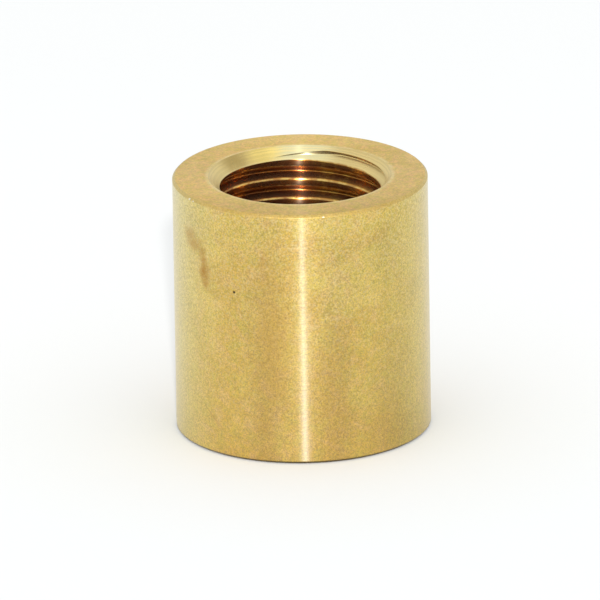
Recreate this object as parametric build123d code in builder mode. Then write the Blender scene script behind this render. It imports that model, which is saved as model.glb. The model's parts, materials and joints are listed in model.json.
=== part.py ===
from build123d import *

import math
import os

# A threaded reducing adapter, turned in one piece from round brass bar: a
# plain cylinder, bored from both ends to two sizes that meet at a drilled
# cone, and tapped from both ends.
# Sizes are in millimetres. +Z is up and the lower face stands on z = 0.

INCH = 25.4

# The bar is 5/8 inch round stock, cut off and faced to length, with its two
# sharp outer corners just broken.
BODY_D = 0.625 * INCH
BODY_R = BODY_D / 2
BODY_H = 0.640 * INCH
CORNER_BREAK = 0.15

# The larger thread opens upward and the smaller one downward. Each is known
# by its widest diameter and the distance from one turn to the next.
LARGE_THREAD_D = 0.4375 * INCH
LARGE_PITCH = INCH / 20
SMALL_THREAD_D = 0.375 * INCH
SMALL_PITCH = INCH / 24

# A 60 degree thread cut to its full depth takes 1.299 pitches off the bore's
# diameter. A hole tapped in brass is drilled wider, for two thirds of that.
FULL_THREAD_PITCHES = 1.299
THREAD_SHARE = 0.675
LARGE_BORE_R = (LARGE_THREAD_D - THREAD_SHARE * FULL_THREAD_PITCHES * LARGE_PITCH) / 2
SMALL_BORE_R = (SMALL_THREAD_D - THREAD_SHARE * FULL_THREAD_PITCHES * SMALL_PITCH) / 2

# Both mouths are countersunk at 90 degrees, as deep as they are wide, to a
# little outside the thread, so that a screw starts without catching.
MOUTH_MARGIN = 0.15
LARGE_MOUTH_DEPTH = LARGE_THREAD_D / 2 + MOUTH_MARGIN - LARGE_BORE_R
SMALL_MOUTH_DEPTH = SMALL_THREAD_D / 2 + MOUTH_MARGIN - SMALL_BORE_R

# The larger drill stops half way and leaves its 118 degree point as a cone
# that runs down to the smaller bore.
LARGE_BORE_FOOT_Z = BODY_H / 2
DRILL_HALF_ANGLE = math.radians(59)
CONE_HEIGHT = (LARGE_BORE_R - SMALL_BORE_R) / math.tan(DRILL_HALF_ANGLE)
CONE_FOOT_Z = LARGE_BORE_FOOT_Z - CONE_HEIGHT

# A groove has flanks at 30 degrees to either side and a flat root, an eighth
# of a pitch wide. The middle of its first turn passes the +X side of the bore
# START_DEPTH below the face, and is RUN_OUT_DEPTH below it where the groove
# has left the countersink.
FLANK_SLOPE = math.tan(math.radians(30))
ROOT_SHARE = 1 / 8
START_DEPTH = 0.62
RUN_OUT_DEPTH = 0.04

# A tap's point tapers over its first turns, so the last turns that it cuts
# are shallower and fade towards the foot of the bore.
TAP_LEAD_TURNS = 2.5

# The cutting shapes reach a little past the metal on the sides that don't cut.
OPENING = 0.10
CLEARANCE = 0.02

# Half a turn about the X axis makes an upward shape open downward, and keeps
# a right-handed helix right-handed.
TURNED_OVER = (180, 0, 0)


def tapped_groove(bore_r, thread_d, pitch, bore_depth):
    """The metal that a tap takes out of a bore that opens upward at height 0."""
    root_r = thread_d / 2
    root_half = pitch * ROOT_SHARE / 2
    open_half = root_half + (root_r - bore_r + OPENING) * FLANK_SLOPE
    turns = math.ceil((bore_depth - START_DEPTH) / pitch)
    deepest = START_DEPTH + turns * pitch

    with BuildPart() as groove:
        # A V swept along a right-handed helix.
        with BuildLine() as path:
            Helix(pitch, deepest - RUN_OUT_DEPTH, bore_r, center=(0, 0, -deepest))
        with BuildSketch(Plane(origin=path.line @ 0, x_dir=(1, 0, 0), z_dir=path.line % 0)):
            with BuildLine():
                Polyline(
                    (-OPENING, -open_half),
                    (root_r - bore_r, -root_half),
                    (root_r - bore_r, root_half),
                    (-OPENING, open_half),
                    close=True,
                )
            make_face()
        sweep(path=path.line, is_frenet=True)

        # Only what lies inside the tap's own outline is cut.
        with BuildSketch(Plane.XZ):
            with BuildLine():
                Polyline(
                    (0, -bore_depth),
                    (bore_r - CLEARANCE, -bore_depth),
                    (root_r + CLEARANCE, TAP_LEAD_TURNS * pitch - bore_depth),
                    (root_r + CLEARANCE, pitch),
                    (0, pitch),
                    close=True,
                )
            make_face()
        revolve(axis=Axis.Z, mode=Mode.INTERSECT)
    return groove.part


os.makedirs("parts", exist_ok=True)

LARGE_BORE_DEPTH = BODY_H - LARGE_BORE_FOOT_Z
large_groove = tapped_groove(LARGE_BORE_R, LARGE_THREAD_D, LARGE_PITCH, LARGE_BORE_DEPTH)
small_groove = tapped_groove(SMALL_BORE_R, SMALL_THREAD_D, SMALL_PITCH, CONE_FOOT_Z)

with BuildPart() as adapter_body:
    # Half the section, on a plane through the axis: the wall between the
    # bar's outside and the two bores, with the drilled cone between them.
    with BuildSketch(Plane.XZ):
        with BuildLine():
            Polyline(
                (SMALL_BORE_R, 0),
                (BODY_R, 0),
                (BODY_R, BODY_H),
                (LARGE_BORE_R, BODY_H),
                (LARGE_BORE_R, LARGE_BORE_FOOT_Z),
                (SMALL_BORE_R, CONE_FOOT_Z),
                close=True,
            )
        make_face()
    revolve(axis=Axis.Z)

    # Each end face has two rims, the bore's inside the bar's.
    end_faces = adapter_body.faces().sort_by(Axis.Z)
    top_rims = end_faces[-1].edges().sort_by(SortBy.RADIUS)
    base_rims = end_faces[0].edges().sort_by(SortBy.RADIUS)

    # The two countersunk mouths, then the outer corners.
    chamfer(top_rims[0], length=LARGE_MOUTH_DEPTH)
    chamfer(base_rims[0], length=SMALL_MOUTH_DEPTH)
    chamfer([top_rims[-1], base_rims[-1]], length=CORNER_BREAK)

    # The two threads, each cut from its own face.
    with Locations((0, 0, BODY_H)):
        add(large_groove, mode=Mode.SUBTRACT)
    add(small_groove, rotation=TURNED_OVER, mode=Mode.SUBTRACT)

adapter_body.part.label = "adapter_body"
export_step(adapter_body.part, "parts/adapter_body.step")
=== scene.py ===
# %% [markdown]
# # A threaded reducing adapter in turned brass
#
# The real object is one short piece of round brass bar. It was faced to
# length on a lathe, drilled from both ends to two sizes, countersunk at both
# mouths and tapped. The CAD solid has all of that form, with every corner
# sharp. This lesson draws it again as one skin whose corners are softened, as
# real ones are, and gives it three finishes, one for each way in which the
# tools met the brass.
#
# Everything is in metres, in the CAD frame: +Z is up, the lower face is on
# z = 0, and the side turned to the viewer is the one that faces -Y.

# %% Load the frame
import json
import math

import bpy
import bmesh
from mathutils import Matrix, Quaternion, Vector


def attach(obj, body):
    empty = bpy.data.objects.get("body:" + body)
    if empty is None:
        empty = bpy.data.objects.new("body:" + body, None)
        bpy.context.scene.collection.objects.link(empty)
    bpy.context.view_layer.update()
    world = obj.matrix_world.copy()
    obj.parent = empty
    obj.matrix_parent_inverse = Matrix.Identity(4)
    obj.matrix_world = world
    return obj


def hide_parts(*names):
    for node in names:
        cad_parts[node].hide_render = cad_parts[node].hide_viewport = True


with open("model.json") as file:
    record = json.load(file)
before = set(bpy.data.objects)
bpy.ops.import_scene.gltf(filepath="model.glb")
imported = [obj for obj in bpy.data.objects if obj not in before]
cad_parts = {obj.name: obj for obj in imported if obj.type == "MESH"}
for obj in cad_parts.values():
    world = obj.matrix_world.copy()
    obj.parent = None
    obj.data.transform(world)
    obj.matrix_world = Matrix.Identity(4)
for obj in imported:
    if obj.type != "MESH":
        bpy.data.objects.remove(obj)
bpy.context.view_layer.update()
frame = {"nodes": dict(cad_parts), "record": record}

# %% [markdown]
# ## The sizes that the frame holds
#
# All but the threads is round about one axis, so each corner of the section
# is a ring of vertices at one distance from the axis and one height. The
# sizes of the bar, the two bores and the two mouths are read from those
# rings. Typing the sizes in again would be shorter, but then a change of the
# CAD part would leave this script behind.

# %% Read the section of the CAD solid
MM = 0.001
NEAR = 0.002 * MM

solid = frame["nodes"]["adapter_body"]
corners = [solid.matrix_world @ v.co for v in solid.data.vertices]
rings = [(math.hypot(p.x, p.y), p.z) for p in corners]
mounts = {mount["name"]: mount for mount in frame["record"]["mounts"]}

body_r = max(r for r, z in rings)
body_h = max(z for r, z in rings)


def radii_at(height):
    """The radii at which the solid has corners at this height."""
    return [r for r, z in rings if abs(z - height) < NEAR]


def wall_of(mount):
    """Radius of the bore that a mount names, and the heights of the corners on its wall."""
    stated = mounts[mount]["dims"]["r_mm"] * MM
    on_wall = [(r, z) for r, z in rings if abs(r - stated) < NEAR]
    return on_wall[0][0], [z for r, z in on_wall]


corner_break = body_r - max(radii_at(body_h))
large_mouth_r = min(radii_at(body_h))
small_mouth_r = min(radii_at(0))
large_bore_r, large_heights = wall_of("large_thread")
small_bore_r, small_heights = wall_of("small_thread")
large_foot_z = min(large_heights)
small_top_z = max(small_heights)
print(f"bar {2 * body_r / MM:.3f} mm across and {body_h / MM:.3f} mm high")
print(f"large bore {2 * large_bore_r / MM:.3f} mm, mouth {2 * large_mouth_r / MM:.3f} mm across")
print(f"small bore {2 * small_bore_r / MM:.3f} mm, mouth {2 * small_mouth_r / MM:.3f} mm across")

# %% [markdown]
# ## The shape of a rounded corner
#
# No turned edge is a mathematical line. A few hundredths of a millimetre of
# roundness is what catches a line of light, so each corner of a section
# becomes a short arc that touches both of its sides. A bevel modifier could
# do this on a finished mesh, but it also rounds the helical seams, which have
# to stay where the tools left them. Rounding the section itself is exact.

# %% Round the corners of a section
ARC_STEPS = 4


def rounded(outline):
    """Points of an outline given as (across, along, radius), with its inner corners rounded."""
    points = [Vector(outline[0][:2])]
    for before, corner, after in zip(outline, outline[1:], outline[2:]):
        at = Vector(corner[:2])
        back = (Vector(before[:2]) - at).normalized()
        onward = (Vector(after[:2]) - at).normalized()
        half = back.angle(onward) / 2
        if corner[2] == 0:
            points.append(at)
            continue
        centre = at + (back + onward).normalized() * corner[2] / math.sin(half)
        first = at + back * corner[2] / math.tan(half) - centre
        last = at + onward * corner[2] / math.tan(half) - centre
        turn = math.pi - 2 * half
        for step in range(ARC_STEPS + 1):
            share = step / ARC_STEPS
            mixed = first * math.sin((1 - share) * turn) + last * math.sin(share * turn)
            points.append(centre + mixed / math.sin(turn))
    points.append(Vector(outline[-1][:2]))
    return points


# %% [markdown]
# ## The threads
#
# The larger thread is 7/16 inch across with 20 turns to the inch, and the
# smaller one 3/8 inch with 24. Both are cut at 60 degrees, right-handed, in
# bores drilled a little wide, so between the V grooves bare bore wall is
# left, and its corners are worn round. Two things give a real tapped hole
# away. At the mouth the groove runs out across the countersink, in a long
# crescent. Clearing the burr there pressed the thin start of the groove shut,
# so it opens late and quickly. At the far end the tap's tapered lead leaves
# grooves that get shallower and fade.
#
# A Screw modifier sweeps a section into a helix, but it can't make either
# ending. Boolean cuts could, at the price of broken shading. Here each
# direction around the axis gets its own section: the groove where it lies at
# that angle, joined with the cone of the mouth, whichever cuts deeper.

# %% Name the two threads
INCH = 0.0254
# A flank leans by 30 degrees, and half of the flat root is a sixteenth of a pitch.
HALF_FLANK = math.tan(math.radians(30))
ROOT_HALF_SHARE = 1 / 16
# Radii of the rounded crests and roots, where the groove has its full depth.
CREST_SOFTNESS = 0.220 * MM
ROOT_SOFTNESS = 0.090 * MM
# How far below the face the groove's middle lies: in the +X direction, where
# it is still pressed shut, and where it is fully open.
START_DEPTH = 0.62 * MM
PRESSED_SHUT = 0.17 * MM
OPEN_AT = 0.40 * MM
# The tap's lead, in turns, and the groove that is too shallow to draw.
LEAD_TURNS = 2.5
FAINTEST_GROOVE = 0.002 * MM

large_thread = {
    "bore": large_bore_r,
    "widest": 0.4375 * INCH / 2,
    "pitch": INCH / 20,
    "mouth": large_mouth_r,
    "end": body_h - large_foot_z,
}
small_thread = {
    "bore": small_bore_r,
    "widest": 0.375 * INCH / 2,
    "pitch": INCH / 24,
    "mouth": small_mouth_r,
    "end": small_top_z,
}

# %% Draw one groove, then the whole wall of a tapped hole


def groove(thread, depth):
    """Section corners of the groove whose middle lies at this depth below the face."""
    lead = (thread["end"] - depth) / (LEAD_TURNS * thread["pitch"])
    opened = (depth - PRESSED_SHUT) / (OPEN_AT - PRESSED_SHUT)
    full = thread["widest"] - thread["bore"]
    cut = full * min(1, lead, opened)
    if cut < FAINTEST_GROOVE:
        return []
    root_r = thread["bore"] + cut
    root = thread["pitch"] * ROOT_HALF_SHARE + (full - cut) * HALF_FLANK
    edge = root + cut * HALF_FLANK
    soft_crest = CREST_SOFTNESS * cut / full
    soft_root = ROOT_SOFTNESS * cut / full
    return [
        (thread["bore"], depth - edge, soft_crest),
        (root_r, depth - root, soft_root),
        (root_r, depth + root, soft_root),
        (thread["bore"], depth + edge, soft_crest),
    ]


def tapped_wall(thread, turned):
    """(radius, depth) down the wall of a tapped hole, along one direction from the axis."""
    pitch = thread["pitch"]
    first = START_DEPTH + turned * pitch
    while first > -pitch:
        first -= pitch
    outline = [(thread["bore"], -2 * pitch, 0)]
    while first < thread["end"]:
        outline += groove(thread, first)
        first += pitch
    outline.append((thread["bore"], thread["end"], 0))

    # The mouth's cone is as deep as it is wide, so radius and depth add up to its rim.
    wall = []
    cut = rounded(outline)
    for here, there in zip(cut, cut[1:]):
        inside_here = here.x - thread["mouth"] + here.y
        inside_there = there.x - thread["mouth"] + there.y
        if inside_here > 0:
            wall.append(here)
        if (inside_here > 0) != (inside_there > 0):
            share = inside_here / (inside_here - inside_there)
            wall.append(here.lerp(there, share))
    wall.append(cut[-1])
    return wall


test_wall = tapped_wall(large_thread, 0)
print("points down the larger thread's wall:", len(test_wall))

# %% [markdown]
# ## One closed skin
#
# The outside is the same in every direction, so its section is drawn once.
# The bores aren't: how many points a direction needs changes as grooves come
# and go. Two neighbouring directions are therefore sewn like a zip. From the
# top down, the next stitch always goes to whichever side makes the shorter
# thread, which keeps matching corners together, and it needs no grid.

# %% Draw the outside once
MOUTH_SOFTNESS = 0.035 * MM
CORNER_SOFTNESS = 0.060 * MM

mouth_depth = large_mouth_r - large_bore_r
base_depth = small_mouth_r - small_bore_r
outside = rounded([
    (small_bore_r, base_depth, 0),
    (small_mouth_r, 0, MOUTH_SOFTNESS),
    (body_r - corner_break, 0, CORNER_SOFTNESS),
    (body_r, corner_break, CORNER_SOFTNESS),
    (body_r, body_h - corner_break, CORNER_SOFTNESS),
    (body_r - corner_break, body_h, CORNER_SOFTNESS),
    (large_mouth_r, body_h, MOUTH_SOFTNESS),
    (large_bore_r, body_h - mouth_depth, 0),
])[1:-1]
print("points around the outside:", len(outside))

# %% Sew the directions together
DIRECTIONS = 288


def inside_at(angle):
    """(radius, height) from the upper mouth down to the lower one, in this direction."""
    turned = angle / math.tau
    upper = [Vector((p.x, body_h - p.y)) for p in tapped_wall(large_thread, -turned)]
    lower = [Vector((p.x, p.y)) for p in tapped_wall(small_thread, turned)]
    return upper + lower[::-1]


def sew(mesh, left, right):
    """Closes the strip between two rows of vertices that start and end side by side."""
    i = j = 0
    while i < len(left) - 1 or j < len(right) - 1:
        can_left = i < len(left) - 1
        can_right = j < len(right) - 1
        if can_left and can_right:
            to_left = (left[i + 1].co - right[j].co).length
            to_right = (left[i].co - right[j + 1].co).length
            can_left = to_left < to_right
        if can_left:
            mesh.faces.new((left[i], left[i + 1], right[j]))
            i += 1
        else:
            mesh.faces.new((left[i], right[j + 1], right[j]))
            j += 1


skin = bmesh.new()
columns = []
for number in range(DIRECTIONS):
    angle = math.tau * number / DIRECTIONS
    away = Vector((math.cos(angle), math.sin(angle), 0))
    column = [
        [skin.verts.new(away * p.x + Vector((0, 0, p.y))) for p in section]
        for section in (outside, inside_at(angle))
    ]
    columns.append(column)

for (outer, inner), (next_outer, next_inner) in zip(columns, columns[1:] + columns[:1]):
    for a, b, c, d in zip(outer, outer[1:], next_outer[1:], next_outer):
        skin.faces.new((a, b, c, d))
    sew(skin, [outer[-1], *inner, outer[0]], [next_outer[-1], *next_inner, next_outer[0]])

bmesh.ops.recalc_face_normals(skin, faces=skin.faces)
loose = [edge for edge in skin.edges if len(edge.link_faces) != 2]
triangles = sum(len(face.verts) - 2 for face in skin.faces)
print("triangles:", triangles, "open edges:", len(loose))

# %% [markdown]
# ## Three zones of tool marks
#
# Each zone of the skin was made by other tools and has its own finish: the
# turned side, the two faced ends, and the inside with its mouths and threads.
# The zones are told apart by where the middle of each face lies.

# %% Name the zones and make the piece
ZONES = ["turned_side", "faced_end", "tapped_bore"]
SHARP_TURN = math.radians(28)


def zone_of(face):
    """The number of the zone in which a face of the skin lies."""
    middle = face.calc_center_median()
    r = math.hypot(middle.x, middle.y)
    on_end = min(middle.z, body_h - middle.z) < NEAR
    if r > body_r - corner_break or (r > large_mouth_r and not on_end):
        return ZONES.index("turned_side")
    return ZONES.index("faced_end") if on_end else ZONES.index("tapped_bore")


for face in skin.faces:
    face.material_index = zone_of(face)
    face.smooth = True

body_mesh = bpy.data.meshes.new("adapter")
skin.to_mesh(body_mesh)
skin.free()
body_mesh.set_sharp_from_angle(angle=SHARP_TURN)
adapter = bpy.data.objects.new("adapter", body_mesh)
bpy.context.scene.collection.objects.link(adapter)

even = adapter.modifiers.new("even_shading", "WEIGHTED_NORMAL")
even.keep_sharp = True

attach(adapter, "root")
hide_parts("adapter_body")
for number, name in enumerate(ZONES):
    count = sum(face.material_index == number for face in body_mesh.polygons)
    print(name, count, "faces")

# %% [markdown]
# ## Shader maths as Python
#
# A finish is a formula: this tone, a little darker where the noise is high,
# browner inside the stain. Written out as nodes, such a formula gets long, so
# one small class lets a socket stand in a Python expression, and one method
# makes every other kind of node.

# %% Let a socket be used as a number


class Term:
    """A shader socket that adds a Math node wherever it is used in a sum."""

    def __init__(self, finish, socket):
        self.finish = finish
        self.socket = socket

    def math(self, operation, *others):
        values = dict(enumerate([self, *others]))
        return self.finish.node("ShaderNodeMath", {"operation": operation}, values)

    def __add__(self, other):
        return self.math("ADD", other)

    def __sub__(self, other):
        return self.math("SUBTRACT", other)

    def __rsub__(self, other):
        return (self * -1) + other

    def __mul__(self, other):
        return self.math("MULTIPLY", other)

    def __truediv__(self, other):
        return self.math("DIVIDE", other)

    def __pow__(self, other):
        return self.math("POWER", other)

    __radd__ = __add__
    __rmul__ = __mul__


class Finish:
    """A material under construction, with the ways to add nodes to it."""

    def __init__(self, name):
        self.material = bpy.data.materials.new(name)
        self.material.use_nodes = True
        self.tree = self.material.node_tree
        self.tree.nodes.clear()

    def node(self, kind, settings=None, values=None, output=0):
        """Adds a node, sets it up, feeds its sockets and returns one of its outputs."""
        node = self.tree.nodes.new(kind)
        for name, setting in (settings or {}).items():
            setattr(node, name, setting)
        for name, value in (values or {}).items():
            if isinstance(value, Term):
                self.tree.links.new(value.socket, node.inputs[name])
            else:
                node.inputs[name].default_value = value
        return Term(self, node.outputs[output]) if node.outputs else None

    def place(self):
        """The point on the object, in millimetres from the middle of the lower face."""
        where = self.node("ShaderNodeTexCoord", output="Object")
        scale = {"operation": "SCALE"}
        return self.node("ShaderNodeVectorMath", scale, {0: where, "Scale": 1 / MM})

    def noise(self, at, scale, detail=3.0, rough=0.55, blur=0.0, count=3):
        """Soft random values around 0.5, in one dimension or three."""
        settings = {"noise_dimensions": f"{count}D"}
        values = {"Scale": scale, "Detail": detail, "Roughness": rough, "Distortion": blur}
        values["W" if count == 1 else "Vector"] = at
        return self.node("ShaderNodeTexNoise", settings, values)

    def between(self, value, low, high):
        """0 below low, 1 above high, with a smooth rise from one to the other."""
        settings = {"interpolation_type": "SMOOTHSTEP", "clamp": True}
        values = {"Value": value, "From Min": low, "From Max": high}
        return self.node("ShaderNodeMapRange", settings, values)

    def blend(self, share, first, second, way="MIX"):
        """One colour turning into another, or laid over it, by a share from 0 to 1."""
        settings = {"data_type": "RGBA", "blend_type": way, "clamp_factor": True}
        values = {0: share, 6: first, 7: second}
        return self.node("ShaderNodeMix", settings, values, output=2)

    def shade(self, colour, value):
        """A colour made lighter or darker by a value around 1."""
        grey = self.node("ShaderNodeCombineColor", {}, {"Red": value, "Green": value, "Blue": value})
        return self.blend(1.0, colour, grey, "MULTIPLY")


# %% [markdown]
# ## Where a mark is
#
# Marks on a round bar are easiest to place as a maker would: so many degrees
# around from the front, so high above the base, so wide and so tall. The
# angle comes from an arctangent, which turns into millimetres along the
# surface when it is multiplied by the radius.

# %% Find the way around and the height
NOISE_MIDDLE = 0.5
# Grains to a millimetre, levels of detail and roughness of the noise that makes edges ragged.
SIDEWAYS_RAGGED = (2.2, 3.0, 0.6)
UPWARD_RAGGED = (1.9, 3.0, 0.6)


class Spot:
    """Round coordinates on the object: radius, angle from the front, and height."""

    def __init__(self, finish):
        self.finish = finish
        self.at = finish.place()
        parts = [finish.node("ShaderNodeSeparateXYZ", {}, {0: self.at}, output=n) for n in range(3)]
        self.x, self.y, self.z = parts
        self.r = (self.x * self.x + self.y * self.y) ** 0.5
        self.angle = self.x.math("ARCTAN2", self.y * -1)
        self.sway = finish.noise(self.at, *SIDEWAYS_RAGGED) - NOISE_MIDDLE
        self.swing = finish.noise(self.at, *UPWARD_RAGGED) - NOISE_MIDDLE

    def turned(self):
        """How far around from the front, to whichever side."""
        return self.angle.math("ABSOLUTE")

    def past(self, angle, begin, full):
        """0 before the first of two angles in degrees, 1 past the second."""
        return self.finish.between(angle, math.radians(begin), math.radians(full))

    def patch(self, degrees, height, wide, tall, edge, ragged, tilt=0):
        """1 inside an oval on the side, 0 outside, with a soft and ragged edge."""
        around = (self.angle - math.radians(degrees)) * (body_r / MM) + self.sway * ragged
        above = self.z - height + self.swing * ragged
        c, s = math.cos(math.radians(tilt)), math.sin(math.radians(tilt))
        along = (around * c + above * s) / wide
        up = (above * c - around * s) / tall
        far = (along * along + up * up) ** 0.5
        return 1 - self.finish.between(far, 1 - edge, 1 + edge)

    def strongest(self, places, edge, ragged):
        """How strongly a spot is marked by the strongest of several ovals, each with a share."""
        most = 0
        for *place, share in places:
            most = (self.patch(*place, edge, ragged) * share).math("MAXIMUM", most)
        return most

    def dot(self, x, y, size, edge):
        """1 inside a round speck on an end, 0 outside."""
        far = ((self.x - x) * (self.x - x) + (self.y - y) * (self.y - y)) ** 0.5 / size
        return 1 - self.finish.between(far, 1 - edge, 1 + edge)


# %% List the marks on the side
# Each is an oval: degrees to the right of the front, height, half width and
# half height in millimetres, and how strong it is. A list's own edge says how
# soft and how ragged its ovals are.
STAIN = [
    (-60.0, 13.85, 0.60, 0.42, 0.60),
    (-57.0, 13.35, 0.75, 0.38, 0.65),
    (-53.0, 13.65, 0.50, 0.18, 0.45),
    (-50.9, 13.00, 0.34, 0.32, 0.65),
    (-49.6, 12.50, 0.26, 0.42, 0.75),
    (-49.2, 11.75, 0.40, 0.60, 0.90),
    (-48.6, 11.10, 0.26, 0.45, 0.70),
    (-44.9, 10.62, 0.60, 0.14, 0.30),
    (-17.1, 13.30, 0.20, 0.55, 0.25),
]
STAIN_EDGE = (0.8, 0.45)
# Darker ovals: tarnish and painted shade. The two tall bands either side of the front and the low
# ones on the right are painted shade.
TARNISH_AND_PAINTED_SHADE = [
    (-16.5, 3.0, 0.80, 11.0, 0.05),
    (15.5, 5.0, 0.80, 9.0, 0.05),
    (-42.0, 14.8, 2.60, 1.20, 0.07),
    (24.0, 12.0, 2.20, 2.40, 0.06),
    (41.0, 13.6, 0.90, 1.30, 0.11),
    (51.0, 12.6, 0.60, 0.90, 0.06),
    (42.0, 4.0, 1.60, 3.60, 0.09),
    (50.0, 1.5, 1.60, 1.60, 0.06),
    (64.0, 10.2, 0.80, 0.60, 0.05),
    (-60.0, 9.2, 0.50, 0.35, 0.05),
    (-52.7, 7.4, 0.35, 0.40, 0.05),
    (-22.0, 10.6, 1.50, 0.70, 0.07),
    (-56.0, 14.6, 0.70, 0.70, 0.06),
    (-14.0, 5.5, 1.80, 6.00, 0.05),
    (13.0, 4.0, 1.30, 5.00, 0.05),
    (45.0, 12.5, 2.00, 3.00, 0.04),
]
TARNISH_AND_PAINTED_SHADE_EDGE = (0.9, 1.2)
BROWNED = [
    (-14.0, 7.8, 1.10, 4.40, 0.62),
    (-17.0, 2.0, 0.70, 2.80, 0.45),
    (14.0, 3.5, 1.10, 4.00, 0.35),
    (40.0, 1.8, 1.50, 1.60, 0.30),
]
BROWNED_EDGE = (0.9, 1.0)
# Nicks in the upper edge, painted near white as painted glints.
NICK_GLINTS = [
    (-60.0, 16.12, 0.10, 0.05, 0.6),
    (-56.8, 16.10, 0.07, 0.04, 0.6),
    (10.2, 16.10, 0.07, 0.04, 0.6),
]
NICK_GLINT_EDGE = (0.4, 0.05)
# Single marks carry their softness and raggedness in the place of a strength.
FRECKLE = (-17.6, 13.40, 0.10, 0.11, 0.5, 0.1)
SCRATCH = (-44.9, 2.38, 0.72, 0.05, 0.6, 0.12)
SCRATCH_TILT = -40
PIT = (-31.9, 10.93, 0.09, 0.08, 0.4, 0.05)
print("marks on the side:", len([*STAIN, *TARNISH_AND_PAINTED_SHADE, *BROWNED, *NICK_GLINTS, FRECKLE, SCRATCH, PIT]))

# %% [markdown]
# ## The brass shader
#
# Under the tarnish the lathe's fine feed marks run around the bar. They are
# too fine to see one by one, but together they stretch every highlight along
# the axis, which is why a single lamp draws one narrow bright line from top
# to bottom. The shader's anisotropy does exactly that, turned a quarter so
# that the stretch is across the marks.
#
# That line is nearly white, although brass tints whatever it reflects. The
# white comes from rubbed crests and old clear film, so a little of a paler
# and sharper metal is mixed into the broad yellow one. On the side only that
# sharp metal is stretched. Making the brass itself paler would wash out the
# whole side for the sake of one line.

# %% Tones of brass
STRAW = (0.710, 0.480, 0.060, 1)
OCHRE = (0.590, 0.355, 0.016, 1)
OLIVE = (0.520, 0.400, 0.022, 1)
ROSE = (0.690, 0.415, 0.120, 1)
BROWN = (0.400, 0.185, 0.008, 1)
UMBER = (0.470, 0.240, 0.008, 1)
LICHEN_AND_SHEEN = (0.600, 0.500, 0.130, 1)
DUST = (0.800, 0.680, 0.330, 1)
# This near black darkens the pit and paints shade along the foot.
NEAR_BLACK = (0.050, 0.038, 0.020, 1)
PALE = (0.950, 0.960, 0.900, 1)
# These two paint shade on the upper rim: grey behind, tan in front.
GREY_RIM_SHADE = (0.260, 0.220, 0.150, 1)
TAN_RIM_SHADE = (0.520, 0.360, 0.110, 1)

# %% Lathe marks
# Both kinds of mark are noise along one coordinate: marks to a millimetre,
# levels of detail and roughness, then height in millimetres.
FINE_MARKS = (7.0, 2.0, 0.7)
FINE_HEIGHT = 0.0030
BROAD_MARKS = (1.3, 1.0, 0.5)
BROAD_HEIGHT = 0.0040
MARKS_BEND = (0.35, 2.0)
MARKS_BEND_BY = 0.10


def lathe_marks(finish, along, wander):
    """Height in millimetres of tool marks that repeat along one coordinate."""
    bent = along + (finish.noise(wander, *MARKS_BEND) - NOISE_MIDDLE) * MARKS_BEND_BY
    fine = finish.noise(bent, *FINE_MARKS, count=1) - NOISE_MIDDLE
    broad = finish.noise(bent, *BROAD_MARKS, count=1) - NOISE_MIDDLE
    return fine * FINE_HEIGHT + broad * BROAD_HEIGHT


print(f"lathe marks: at most {(FINE_HEIGHT + BROAD_HEIGHT) / 2:.4f} mm above or below the surface")


# %% The shader that every zone shares
ACROSS_THE_MARKS = 0.25
FILM_ROUGHNESS = 0.45


def finished(finish, colour, roughness, height, stretch, film, gleam, tone, sharpness, drawn_out):
    """Closes a material: broad brass with its clear film, and a share of sharp pale gleam."""
    relief = finish.node("ShaderNodeBump", {}, {"Height": height, "Distance": MM})
    brass = finish.node("ShaderNodeBsdfPrincipled", {}, {
        "Base Color": colour,
        "Roughness": roughness,
        "Metallic": 1.0,
        "Normal": relief,
        "Anisotropic": stretch,
        "Anisotropic Rotation": ACROSS_THE_MARKS,
        "Coat Weight": film,
        "Coat Roughness": FILM_ROUGHNESS,
    })
    crests = finish.node("ShaderNodeBsdfPrincipled", {}, {
        "Base Color": tone,
        "Roughness": sharpness,
        "Metallic": 1.0,
        "Normal": relief,
        "Anisotropic": drawn_out,
        "Anisotropic Rotation": ACROSS_THE_MARKS,
    })
    both = finish.node("ShaderNodeMixShader", {}, {0: gleam, 1: brass, 2: crests})
    finish.node("ShaderNodeOutputMaterial", {}, {"Surface": both})
    return finish.material


# %% Noises, tones and grains from a list


def noises(finish, spot, kinds):
    """The noises of a finish by name: grains to a millimetre, detail, roughness, distortion."""
    return {name: finish.noise(spot.at, *kind) for name, kind in kinds.items()}


def toned(finish, noise, colour, tones):
    """A colour with tones laid over it, where a noise rises, or falls, from begin to full."""
    for name, way, begin, full, share, tone in tones:
        value = noise[name] if way == "rises" else 1 - noise[name]
        colour = finish.blend(finish.between(value, begin, full) * share, colour, tone)
    return colour


def grained(finish, noise, grains):
    """A sum of grains of different sizes, each as a noise, where it grows, and its share."""
    total = 0
    for name, begin, full, share in grains:
        total = finish.between(noise[name], begin, full) * share + total
    return total


# %% [markdown]
# ## The turned side
#
# Old brass that has been handled and put away is no longer yellow all over.
# A thin skin of tarnish lies on it in clouds, straw in one place, ochre or
# olive in the next, and browner in a few upright bands. Fine pale dust clings
# to it. Painted shade makes the side darker over the front, in two tall bands
# beside the front, and on the right, most of all toward the foot. Painted
# sheen makes it paler toward both edges and on the left, and more straw and
# dust toward the top are painted light.
#
# Marks are laid over the clouds one by one: a run of brown stain, a freckle,
# a scratch and a pit, and three nicks in the upper edge, painted near white as
# painted glints. The upper rim is painted darker as painted shade, and so is a
# thin dark line where the side meets the table.

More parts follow.
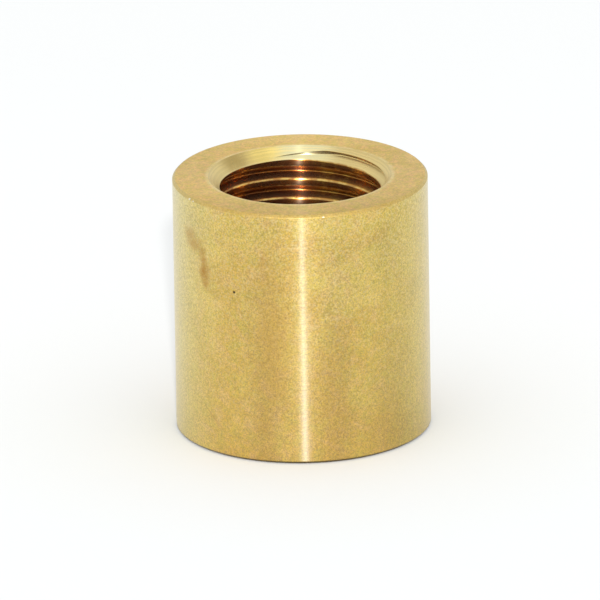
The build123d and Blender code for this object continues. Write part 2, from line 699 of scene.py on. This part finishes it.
# %% Name what the side's tarnish is made of
SIDE_NOISES = {
    "clouds": (0.30, 4.0, 0.60, 0.4),
    "patches": (0.90, 4.0, 0.62, 0.6),
    "tints": (2.6, 3.0, 0.6, 0.3),
    "specks": (6.2, 2.0, 0.6),
    "grain": (13.0, 2.0, 0.7),
    "dust": (7.0, 2.0, 0.6),
}
SIDE_TONES = [
    ("patches", "rises", 0.48, 0.66, 0.45, OLIVE),
    ("patches", "falls", 0.48, 0.68, 0.50, ROSE),
    ("tints", "rises", 0.50, 0.66, 0.26, OLIVE),
    ("tints", "falls", 0.50, 0.66, 0.26, ROSE),
]
SIDE_GRAINS = [("grain", 0.30, 0.70, 0.52), ("specks", 0.36, 0.64, 0.20)]
SIDE_LIGHTNESS = 0.640

# Where each zone of the side begins and is full, in degrees from the front.
# The zones carry an olive tone, painted shade and painted sheen, which the
# back zone fades out.
FRONT_ENDS = (10, 36)
RIGHT = (18, 60)
LEFT = (30, 72)
EDGES = (35, 75)
BACK = (90, 125)

# How far straw gains on ochre toward the top, which is painted light, and the
# noise that ochre begins and is full at.
STRAW_PAINTED_LIGHT_RISE = 0.16
OCHRE_CLOUDS = (0.24, 0.54)
# Shares of a tone, of painted sheen, or of painted shade, in those zones.
RIGHT_OLIVE = 0.40
LEFT_LICHEN_AND_SHEEN = 0.45
EDGES_LICHEN_AND_SHEEN_FOOT, EDGES_LICHEN_AND_SHEEN_RISE = 0.15, 0.25
RIGHT_PAINTED_SHADE = 0.12
FRONT_PAINTED_SHADE = 0.13
UMBER_GRAIN, UMBER_LIGHTNESS = 0.6, 0.80
# The noise that dust begins and is full at, its share at the foot, and how much
# that rises toward the top, which is painted light.
DUSTY = (0.46, 0.66)
DUST_FOOT, DUST_PAINTED_LIGHT_RISE = 0.06, 0.30
print("the side:", len(SIDE_NOISES), "noises and", len(SIDE_TONES), "layers of tone")

# %% Lay the tarnish on the side


def side_tarnish_and_painted_light(finish, spot, noise, lift):
    """The side's colour before its marks, with its painted shade, sheen and light, and how brown it
    is.
    """
    shown = 1 - spot.past(spot.turned(), *BACK)
    left = spot.past(spot.angle * -1, *LEFT) * shown
    right = spot.past(spot.angle, *RIGHT) * shown
    edges = spot.past(spot.turned(), *EDGES) * shown
    front = 1 - spot.past(spot.turned(), *FRONT_ENDS)

    # Lighter straw toward the top is painted light.
    cloudy = finish.between(noise["clouds"] - lift * STRAW_PAINTED_LIGHT_RISE, *OCHRE_CLOUDS)
    colour = toned(finish, noise, finish.blend(cloudy, STRAW, OCHRE), SIDE_TONES)
    colour = finish.blend(right * RIGHT_OLIVE, colour, OLIVE)
    # The lichen tone on the left and toward both edges is partly painted sheen.
    lichen_and_sheen = edges * (lift * EDGES_LICHEN_AND_SHEEN_RISE + EDGES_LICHEN_AND_SHEEN_FOOT) + left * LEFT_LICHEN_AND_SHEEN
    colour = finish.blend(lichen_and_sheen, colour, LICHEN_AND_SHEEN)

    # Painted shade: darker over the front, on the right toward the foot, and in the darker ovals.
    painted_shade_and_tarnish = right * (1 - lift) * RIGHT_PAINTED_SHADE + front * FRONT_PAINTED_SHADE
    for *place, depth in TARNISH_AND_PAINTED_SHADE:
        painted_shade_and_tarnish = painted_shade_and_tarnish + spot.patch(*place, *TARNISH_AND_PAINTED_SHADE_EDGE) * depth
    fine = grained(finish, noise, SIDE_GRAINS)
    colour = finish.shade(colour, fine + SIDE_LIGHTNESS - painted_shade_and_tarnish)

    browned = spot.strongest(BROWNED, *BROWNED_EDGE)
    brown = finish.shade(UMBER, fine * UMBER_GRAIN + UMBER_LIGHTNESS)
    colour = finish.blend(browned, colour, brown)
    # More dust toward the top is painted light.
    dusty = finish.between(noise["dust"], *DUSTY) * (lift * DUST_PAINTED_LIGHT_RISE + DUST_FOOT)
    return finish.blend(dusty * (1 - browned), colour, DUST), browned


# %% Name the side's marks, film and gleam
# Where specks break up the stain, and how much of it is always there.
STAIN_SPECKS = (0.35, 0.6)
STAIN_BROKEN, STAIN_SOLID = 0.45, 0.55
FRECKLE_SHARE = 0.45
SCRATCH_SHARE = 0.55
PIT_SHARE = 0.95

# The upper rim and the foot, both painted darker as painted shade, in
# millimetres above the base.
RIM = (body_h - corner_break) / MM
RIM_BEGINS, RIM_FULL = RIM - 0.06, RIM - 0.01
RIM_BACK = (85, 115)
RIM_GREY_SHARE = 0.75
RIM_TAN_SHARE = 0.50
FOOT_FULL, FOOT_ENDS = 0.06, corner_break / MM + 0.05
FOOT_SHARE = 0.80

# Heights and depths in millimetres.
GRAIN_HEIGHT = 0.0010
PIT_DEPTH = 0.03
SCRATCH_DEPTH = 0.004

# Each of these starts from a plain value and is changed by what lies there.
SIDE_ROUGHNESS = 0.27
ROUGHER_PATCHES, ROUGHER_GRAIN = 0.06, 0.03
ROUGHER_STAIN, ROUGHER_RIM = 0.10, 0.30
FILM_SPECKS = (0.34, 0.66)
FILM_PLAIN, FILM_IN_SPECKS = 0.75, 0.30
FILM_FOOT, FILM_RISE = 0.62, 0.42
FILM_LOST_STAINED, FILM_LOST_BROWNED = 0.8, 0.6
GLEAM_TOP, GLEAM_TOWARD_FOOT = 0.050, 0.034
GLEAM_LOST_RIM, GLEAM_LOST_STAINED = 0.8, 0.6
SIDE_SHARPNESS = 0.25
print(f"upper rim from {RIM_BEGINS:.2f} mm, grime at the foot up to {FOOT_ENDS:.2f} mm")

# %% Make the turned side's finish


def turned_side():
    finish = Finish("turned_side")
    spot = Spot(finish)
    noise = noises(finish, spot, SIDE_NOISES)
    lift = spot.z / (body_h / MM)
    colour, browned = side_tarnish_and_painted_light(finish, spot, noise, lift)

    broken = finish.between(noise["specks"], *STAIN_SPECKS) * STAIN_BROKEN + STAIN_SOLID
    stain = spot.strongest(STAIN, *STAIN_EDGE) * broken
    scratch = spot.patch(*SCRATCH, SCRATCH_TILT)
    pit = spot.patch(*PIT)
    colour = finish.blend(stain, colour, BROWN)
    colour = finish.blend(spot.patch(*FRECKLE) * FRECKLE_SHARE, colour, BROWN)
    colour = finish.blend(scratch * SCRATCH_SHARE, colour, BROWN)
    colour = finish.blend(pit * PIT_SHARE, colour, NEAR_BLACK)

    rim = finish.between(spot.z, RIM_BEGINS, RIM_FULL)
    foot = 1 - finish.between(spot.z, FOOT_FULL, FOOT_ENDS)
    behind = spot.past(spot.turned(), *RIM_BACK)
    # Painted shade: the upper rim darker, grey behind and tan in front, and a dark line along the
    # foot.
    colour = finish.blend(rim * behind * RIM_GREY_SHARE, colour, GREY_RIM_SHADE)
    colour = finish.blend(rim * (1 - behind) * RIM_TAN_SHARE, colour, TAN_RIM_SHADE)
    colour = finish.blend(foot * FOOT_SHARE, colour, NEAR_BLACK)
    # Painted glints at the nicks.
    colour = finish.blend(spot.strongest(NICK_GLINTS, *NICK_GLINT_EDGE), colour, PALE)

    height = lathe_marks(finish, spot.z, spot.at) + noise["grain"] * GRAIN_HEIGHT
    height = height - pit * PIT_DEPTH - scratch * SCRATCH_DEPTH
    roughness = noise["patches"] * ROUGHER_PATCHES + noise["grain"] * ROUGHER_GRAIN
    roughness = roughness + SIDE_ROUGHNESS + stain * ROUGHER_STAIN + rim * ROUGHER_RIM
    bare = (1 - foot) * (1 - pit)
    film = finish.between(noise["specks"], *FILM_SPECKS) * FILM_IN_SPECKS + FILM_PLAIN
    film = film * (1 - stain * FILM_LOST_STAINED) * (1 - browned * FILM_LOST_BROWNED)
    film = film * bare * (lift * FILM_RISE + FILM_FOOT)
    gleam = ((1 - lift) * GLEAM_TOWARD_FOOT + GLEAM_TOP) * bare
    gleam = gleam * (1 - rim * GLEAM_LOST_RIM) * (1 - stain * GLEAM_LOST_STAINED)
    return finished(finish, colour, roughness, height, 0.0, film, gleam, PALE, SIDE_SHARPNESS, 1.0)


# %% [markdown]
# ## The faced ends
#
# A facing cut leaves the same feed marks as rings about the axis. The face
# was wiped and rubbed less than the side, so it is duller and slightly pink,
# with paler dust in the marks. The upper mouth has a paler, uneven ring
# around it and one dark speck to its left. Both are kept off the lower face.

# %% Name what the faces are made of
FACE_PALE = (0.660, 0.450, 0.100, 1)
FACE_DULL = (0.600, 0.400, 0.070, 1)
FACE_SPECK = (0.160, 0.150, 0.080, 1)
FACE_NOISES = {
    "patches": (0.8, 4.0, 0.6, 0.5),
    "tints": (2.1, 3.0, 0.6, 0.3),
    "grain": (6.0, 3.0, 0.6),
    "flecks": (10.0, 2.0, 0.7),
    "worn": (1.4, 3.0, 0.7),
}
FACE_TONES = [
    ("patches", "rises", 0.35, 0.65, 1.00, FACE_DULL),
    ("tints", "rises", 0.50, 0.66, 0.45, OLIVE),
    ("tints", "falls", 0.46, 0.64, 0.70, ROSE),
]
FACE_GRAINS = [("grain", 0.30, 0.70, 0.20), ("flecks", 0.30, 0.70, 0.30)]
FACE_LIGHTNESS = 0.62

# Millimetres from the axis toward the back between which the face gets
# lighter, then paler, and by how much.
LIGHTER_BACK, LIGHTER_BACK_SHARE = (-7.5, -2.0), 0.18
PALER_BACK, PALER_BACK_SHARE = (4.0, 7.0), 0.08
BRIGHTER, BRIGHTER_SHARE = (-60, 16.25, 3.5, 3.0, 0.9, 0.5), 0.08

# The ring at the upper mouth, in millimetres outside its edge, the heights over
# which ring and speck come in, and the speck: place, radius and softness.
RING_BEGINS, RING_ENDS = 0.05, 0.30
RING_WORN = (0.40, 0.60)
RING_SHARE, RING_SHARE_WORN = 0.25, 0.35
OFF_LOWER_FACE = (1.0, 2.0)
SPECK, SPECK_SHARE = (-5.3, 0.3, 0.16, 0.5), 0.7

FACE_GRAIN_HEIGHT = 0.002
FACE_ROUGHNESS = 0.40
FACE_ROUGHER_PATCHES, FACE_ROUGHER_GRAIN = 0.10, 0.08
FACE_STRETCH = 0.5
FACE_FILM = 0.35
FACE_GLEAM = 0.03
FACE_SHARPNESS = 0.40
print("the faces:", len(FACE_NOISES), "noises and", len(FACE_TONES), "layers of tone")

# %% Make the faced ends' finish


def faced_end():
    finish = Finish("faced_end")
    spot = Spot(finish)
    noise = noises(finish, spot, FACE_NOISES)
    colour = toned(finish, noise, FACE_PALE, FACE_TONES)
    colour = finish.blend(finish.between(spot.y, *PALER_BACK) * PALER_BACK_SHARE, colour, DUST)
    lightened = finish.between(spot.y, *LIGHTER_BACK) * LIGHTER_BACK_SHARE + spot.patch(*BRIGHTER) * BRIGHTER_SHARE
    colour = finish.shade(colour, grained(finish, noise, FACE_GRAINS) + FACE_LIGHTNESS + lightened)

    rim = large_mouth_r / MM
    upper = finish.between(spot.z, *OFF_LOWER_FACE)
    ring = 1 - finish.between(spot.r, rim + RING_BEGINS, rim + RING_ENDS)
    worn = finish.between(noise["worn"], *RING_WORN) * RING_SHARE_WORN + RING_SHARE
    colour = finish.blend(ring * worn * upper, colour, DUST)
    colour = finish.blend(spot.dot(*SPECK) * upper * SPECK_SHARE, colour, FACE_SPECK)

    height = lathe_marks(finish, spot.r, spot.at) + noise["grain"] * FACE_GRAIN_HEIGHT
    roughness = noise["patches"] * FACE_ROUGHER_PATCHES + noise["grain"] * FACE_ROUGHER_GRAIN
    return finished(
        finish, colour, roughness + FACE_ROUGHNESS, height, FACE_STRETCH,
        FACE_FILM, FACE_GLEAM, PALE, FACE_SHARPNESS, 1.0)


# %% [markdown]
# ## Mouths and threads
#
# The countersink's cutting edge burnishes as it cuts, so the cones stay the
# brightest brass on the piece, and so does the first groove where it runs out
# through the cone. They keep fine streaks from the cut, and more of the sharp
# metal is mixed in there, in a straw tone. Down the middle of the back each
# cone is painted paler, as a painted highlight. The upper one also has a
# yellower patch at the back and a brown smudge to the left of it.
# Deeper in, cutting oil has dried to a brown film, partly rubbed off again
# along the crests. Each reflection from one flank to the next loses more blue
# and green, so the deep brown of a threaded hole is mostly made by the shape.
#
# The bright part ends at the lower edge of the first groove, which winds down
# by one pitch in a turn. The angle from the back turns that into a height.

# %% Find where the countersinks left bright brass
# Degrees from the back, going round by the right, over which the bright
# border climbs back to the depth of the mouth.
GROOVE_ENDS = (120, 230)
# Half the width of that border, in millimetres.
BORDER = 0.03


def fresh_brass(finish, spot):
    """1 on both mouths, down to the first groove, and 0 deeper in."""
    way = math.pi - spot.angle
    winding = way * (1 - spot.past(way, *GROOVE_ENDS))
    fresh_depth = winding * (large_thread["pitch"] / MM / math.tau) + mouth_depth / MM
    depth = body_h / MM - spot.z
    above = 1 - finish.between(depth - fresh_depth, -BORDER, BORDER)
    below = 1 - finish.between(spot.z - base_depth / MM, -BORDER, BORDER)
    return above.math("MAXIMUM", below)


print(f"the bright border winds down by {large_thread['pitch'] / MM:.2f} mm in a turn")


# %% Name what the mouths are made of
BURNISHED_AND_HIGHLIGHT = (0.700, 0.640, 0.360, 1)
TAN = (0.730, 0.540, 0.210, 1)
YELLOW = (0.880, 0.650, 0.165, 1)
HANDLED = (0.700, 0.540, 0.210, 1)
SMUDGE = (0.360, 0.235, 0.045, 1)
# Degrees from the front: where the back half of a mouth begins, and its middle,
# which is painted paler as a painted highlight.
MOUTH_BACK = (100, 140)
MOUTH_HIGHLIGHT_MIDDLE = (145, 172)
# Streaks around the bore: how wavy they are, then streaks to a millimetre, detail and roughness.
STREAKS_WAVE = 0.12
STREAKS = (9.0, 2.0, 0.6)
TAN_STREAKS, TAN_SHARE = (0.40, 0.62), 0.45
DARK_STREAKS, DARK_SHARE, MOUTH_LIGHTNESS = (0.34, 0.66), 0.14, 0.89
# Ovals as on the side, with their softness and raggedness, and their shares.
BRUSHED, BRUSHED_SHARE = (-155, 16.0, 1.7, 0.6, 0.6, 0.8), 0.85
SMUDGED, SMUDGED_SHARE = (-131, 16.0, 1.5, 0.5, 0.8, 0.6), 0.85

# %% Colour the mouths


def mouth_colour(finish, spot, streaks, behind):
    """Bright streaky brass, painted paler down the back middle as a painted highlight, yellower and
    browner in two patches.
    """
    middle = spot.past(spot.turned(), *MOUTH_HIGHLIGHT_MIDDLE)
    # A painted highlight: the back middle turns paler.
    colour = finish.blend(middle, TAN, BURNISHED_AND_HIGHLIGHT)
    colour = finish.blend(finish.between(streaks, *TAN_STREAKS) * TAN_SHARE, colour, TAN)
    colour = finish.blend(spot.patch(*BRUSHED) * BRUSHED_SHARE, colour, YELLOW)
    colour = finish.blend(behind, HANDLED, colour)
    colour = finish.shade(
        colour, finish.between(streaks, *DARK_STREAKS) * DARK_SHARE + MOUTH_LIGHTNESS)
    return finish.blend(spot.patch(*SMUDGED) * SMUDGED_SHARE, colour, SMUDGE)


# %% Name what the threads are made of
THIN_OIL = (0.400, 0.150, 0.012, 1)
THICK_OIL = (0.215, 0.056, 0.004, 1)
RUBBED_CREST = (0.660, 0.450, 0.090, 1)
BORE_NOISES = {"patches": (1.1, 4.0, 0.6, 0.5), "worn": (1.6, 3.0, 0.7)}
WORN = (0.42, 0.60)
THICK_PATCHES = (0.35, 0.65)
THICK_STREAKS, THICK_SHARE = (0.42, 0.62), 0.5
# The right of the bore is cleaner: degrees where that begins and ends, and shares.
CLEANER_BEGINS, CLEANER_ENDS = (60, 150), (160, 175)
CLEANER_THIN = 0.6
CLEANER_WORN, CLEANER_PLAIN = 0.45, 0.20
# How far outside the bore's wall, in millimetres, the worn corner of a crest begins and ends.
CREST_BEGINS, CREST_ENDS = (0.003, 0.012), (0.04, 0.08)
CREST_WORN, CREST_PLAIN = 0.85, 0.15
print(f"crests are worn up to {max(CREST_ENDS):.2f} mm out from the bore's wall")

# %% Colour the threads


def thread_colour(finish, spot, patches, streaks, worn, crest):
    """Dried oil in the grooves, and brass rubbed bare along the crests."""
    cleaner = spot.past(spot.angle, *CLEANER_BEGINS) * (1 - spot.past(spot.angle, *CLEANER_ENDS))
    thick = finish.between(patches, *THICK_PATCHES) * (1 - cleaner * CLEANER_THIN)
    colour = finish.blend(thick, THIN_OIL, THICK_OIL)
    colour = finish.blend(finish.between(streaks, *THICK_STREAKS) * THICK_SHARE, colour, THICK_OIL)
    colour = finish.blend(cleaner * (worn * CLEANER_WORN + CLEANER_PLAIN), colour, RUBBED_CREST)
    return finish.blend(crest * (worn * CREST_WORN + CREST_PLAIN), colour, RUBBED_CREST)


# %% Make the finish of the inside
COPPER_GLEAM = (0.970, 0.720, 0.500, 1)
STRAW_GLEAM = (0.980, 0.920, 0.600, 1)
BORE_MARKS = 0.5
BORE_ROUGHNESS = 0.20
BORE_ROUGHER_PATCHES, BORE_ROUGHER_HANDLED = 0.10, 0.15
BORE_GLEAM, MOUTH_GLEAM = 0.058, 0.050
CREST_GLEAM, CREST_GLEAM_WORN = 0.07, 0.08
BORE_STRETCH = 0.5
BORE_SHARPNESS = 0.31
BORE_DRAWN_OUT = 0.98


def tapped_bore():
    finish = Finish("tapped_bore")
    spot = Spot(finish)
    noise = noises(finish, spot, BORE_NOISES)
    patches = noise["patches"]
    streaks = finish.noise(spot.z + patches * STREAKS_WAVE, *STREAKS, count=1)
    worn = finish.between(noise["worn"], *WORN)
    wall = spot.r - large_bore_r / MM
    crest = finish.between(wall, *CREST_BEGINS) * (1 - finish.between(wall, *CREST_ENDS))
    fresh = fresh_brass(finish, spot)
    behind = spot.past(spot.turned(), *MOUTH_BACK)

    mouth = mouth_colour(finish, spot, streaks, behind)
    thread = thread_colour(finish, spot, patches, streaks, worn, crest)
    height = lathe_marks(finish, spot.z, spot.at) * BORE_MARKS
    roughness = patches * BORE_ROUGHER_PATCHES + BORE_ROUGHNESS
    roughness = roughness + (1 - behind) * fresh * BORE_ROUGHER_HANDLED
    tone = finish.blend(fresh, COPPER_GLEAM, STRAW_GLEAM)
    gleam = crest * (worn * CREST_GLEAM_WORN + CREST_GLEAM) + fresh * MOUTH_GLEAM + BORE_GLEAM
    return finished(
        finish, finish.blend(fresh, thread, mouth), roughness, height, BORE_STRETCH,
        0.0, gleam, tone, BORE_SHARPNESS, BORE_DRAWN_OUT)


# %% Put the finishes on the piece
for make in (turned_side, faced_end, tapped_bore):
    adapter.data.materials.append(make())
for material in adapter.data.materials:
    print(material.name, "has", len(material.node_tree.nodes), "nodes")

# %% [markdown]
# ## Floor, light and camera
#
# Metal looks like what surrounds it. The adapter stands on white paper in
# white surroundings, so the brass shows its own tone all round. The sheet has
# painted shade: it is a little darker toward the viewer.
# It lies a hundredth of a millimetre below the base, because a renderer can't
# tell which of two faces in exactly the same place is in front.
#
# Two small round lamps, one a little above the lens and one below it, draw
# the narrow line of light on the side and the row of glints down the thread.
# The lower one casts no shadow, so the sheet behind the adapter stays even.
# A wide, dim lamp hangs overhead.

# %% Lay the floor
FLOOR_SIDE = 1.2
FLOOR_GAP = 0.01 * MM
# The nearer tone is painted shade.
PAPER_NEAR_SHADED = (0.802, 0.816, 0.832, 1)
PAPER_FAR = (0.835, 0.838, 0.845, 1)
# Millimetres behind the axis over which the one turns into the other.
PAPER_TURNS = (-30, 20)
PAPER_ROUGHNESS = 0.9
PAPER_GLOSS = 0.1

floor_mesh = bpy.data.meshes.new("floor")
half_floor = FLOOR_SIDE / 2
corners_of_floor = [(-1, -1), (1, -1), (1, 1), (-1, 1)]
floor_mesh.from_pydata(
    [(x * half_floor, y * half_floor, -FLOOR_GAP) for x, y in corners_of_floor], [], [(0, 1, 2, 3)])
floor = bpy.data.objects.new("floor", floor_mesh)
bpy.context.scene.collection.objects.link(floor)

paper = Finish("white_paper")
behind_axis = paper.node("ShaderNodeSeparateXYZ", {}, {0: paper.place()}, output=1)
white = paper.blend(paper.between(behind_axis, *PAPER_TURNS), PAPER_NEAR_SHADED, PAPER_FAR)
sheet = paper.node("ShaderNodeBsdfPrincipled", {}, {
    "Base Color": white, "Roughness": PAPER_ROUGHNESS, "Specular IOR Level": PAPER_GLOSS})
paper.node("ShaderNodeOutputMaterial", {}, {"Surface": sheet})
floor.data.materials.append(paper.material)
print(f"floor {FLOOR_SIDE:.1f} m square")

# %% Light the scene
SURROUND = 0.96
ROOM_WHITE = (0.985, 1.000, 0.990, 1)
# Azimuth and elevation in degrees, distance and width in metres, and power in watts.
LAMPS = {
    "flash": (0.8, 24, 1.00, 0.028, 4.20),
    "low_flash": (0.8, 8, 1.00, 0.028, 3.80),
    "ceiling": (0, 76, 0.45, 0.42, 0.12),
}

world = bpy.data.worlds.new("white_room")
bpy.context.scene.world = world
world.use_nodes = True
backdrop = world.node_tree.nodes["Background"]
backdrop.inputs["Color"].default_value = ROOM_WHITE
backdrop.inputs["Strength"].default_value = SURROUND

middle = Vector((0, 0, body_h / 2))


def lamp(name, azimuth, elevation, distance, width, power):
    """A round soft light that looks at the adapter from a given direction."""
    data = bpy.data.lights.new(name, "AREA")
    data.shape = "DISK"
    data.size = width
    data.energy = power
    light = bpy.data.objects.new(name, data)
    a, e = math.radians(azimuth), math.radians(elevation)
    away = Vector((math.sin(a) * math.cos(e), -math.cos(a) * math.cos(e), math.sin(e)))
    light.location = middle + away * distance
    light.rotation_mode = "QUATERNION"
    light.rotation_quaternion = away.to_track_quat("Z", "Y")
    bpy.context.scene.collection.objects.link(light)
    return light


lamps = {name: lamp(name, *setting) for name, setting in LAMPS.items()}
lamps["low_flash"].data.use_shadow = False
print("lamps:", list(lamps))

# %% [markdown]
# ## The view
#
# More than a metre is a long way off for so small a thing. A very long lens
# brings it near again and keeps its upright sides almost parallel. The camera
# looks down at the adapter's middle at a little under 20 degrees, and leans
# by almost one degree.

# %% Set up the camera
LENS = 1200
SENSOR = 36
VIEW_ELEVATION = math.radians(19.2)
ADAPTER_SHARE = 0.4252
LEAN = math.radians(-0.94)
AIM_LEFT = 0.12 * MM
AIM_DOWN = 0.12 * MM
NEAREST_SEEN = 0.01
FARTHEST_SEEN = 10

seen_width = 2 * body_r / ADAPTER_SHARE
camera_data = bpy.data.cameras.new("camera")
camera_data.lens = LENS
camera_data.sensor_width = SENSOR
camera_data.clip_start = NEAREST_SEEN
camera_data.clip_end = FARTHEST_SEEN
camera = bpy.data.objects.new("camera", camera_data)
bpy.context.scene.collection.objects.link(camera)
back = Vector((0, -math.cos(VIEW_ELEVATION), math.sin(VIEW_ELEVATION)))
upward = Vector((0, math.sin(VIEW_ELEVATION), math.cos(VIEW_ELEVATION)))
aim = middle - Vector((AIM_LEFT, 0, 0)) - upward * AIM_DOWN
camera.location = aim + back * (seen_width * LENS / SENSOR)
camera.rotation_mode = "QUATERNION"
camera.rotation_quaternion = back.to_track_quat("Z", "Y") @ Quaternion((0, 0, 1), LEAN)
bpy.context.scene.camera = camera
bpy.context.scene.view_settings.view_transform = "Standard"
print(f"camera {(camera.location - aim).length:.2f} m away")
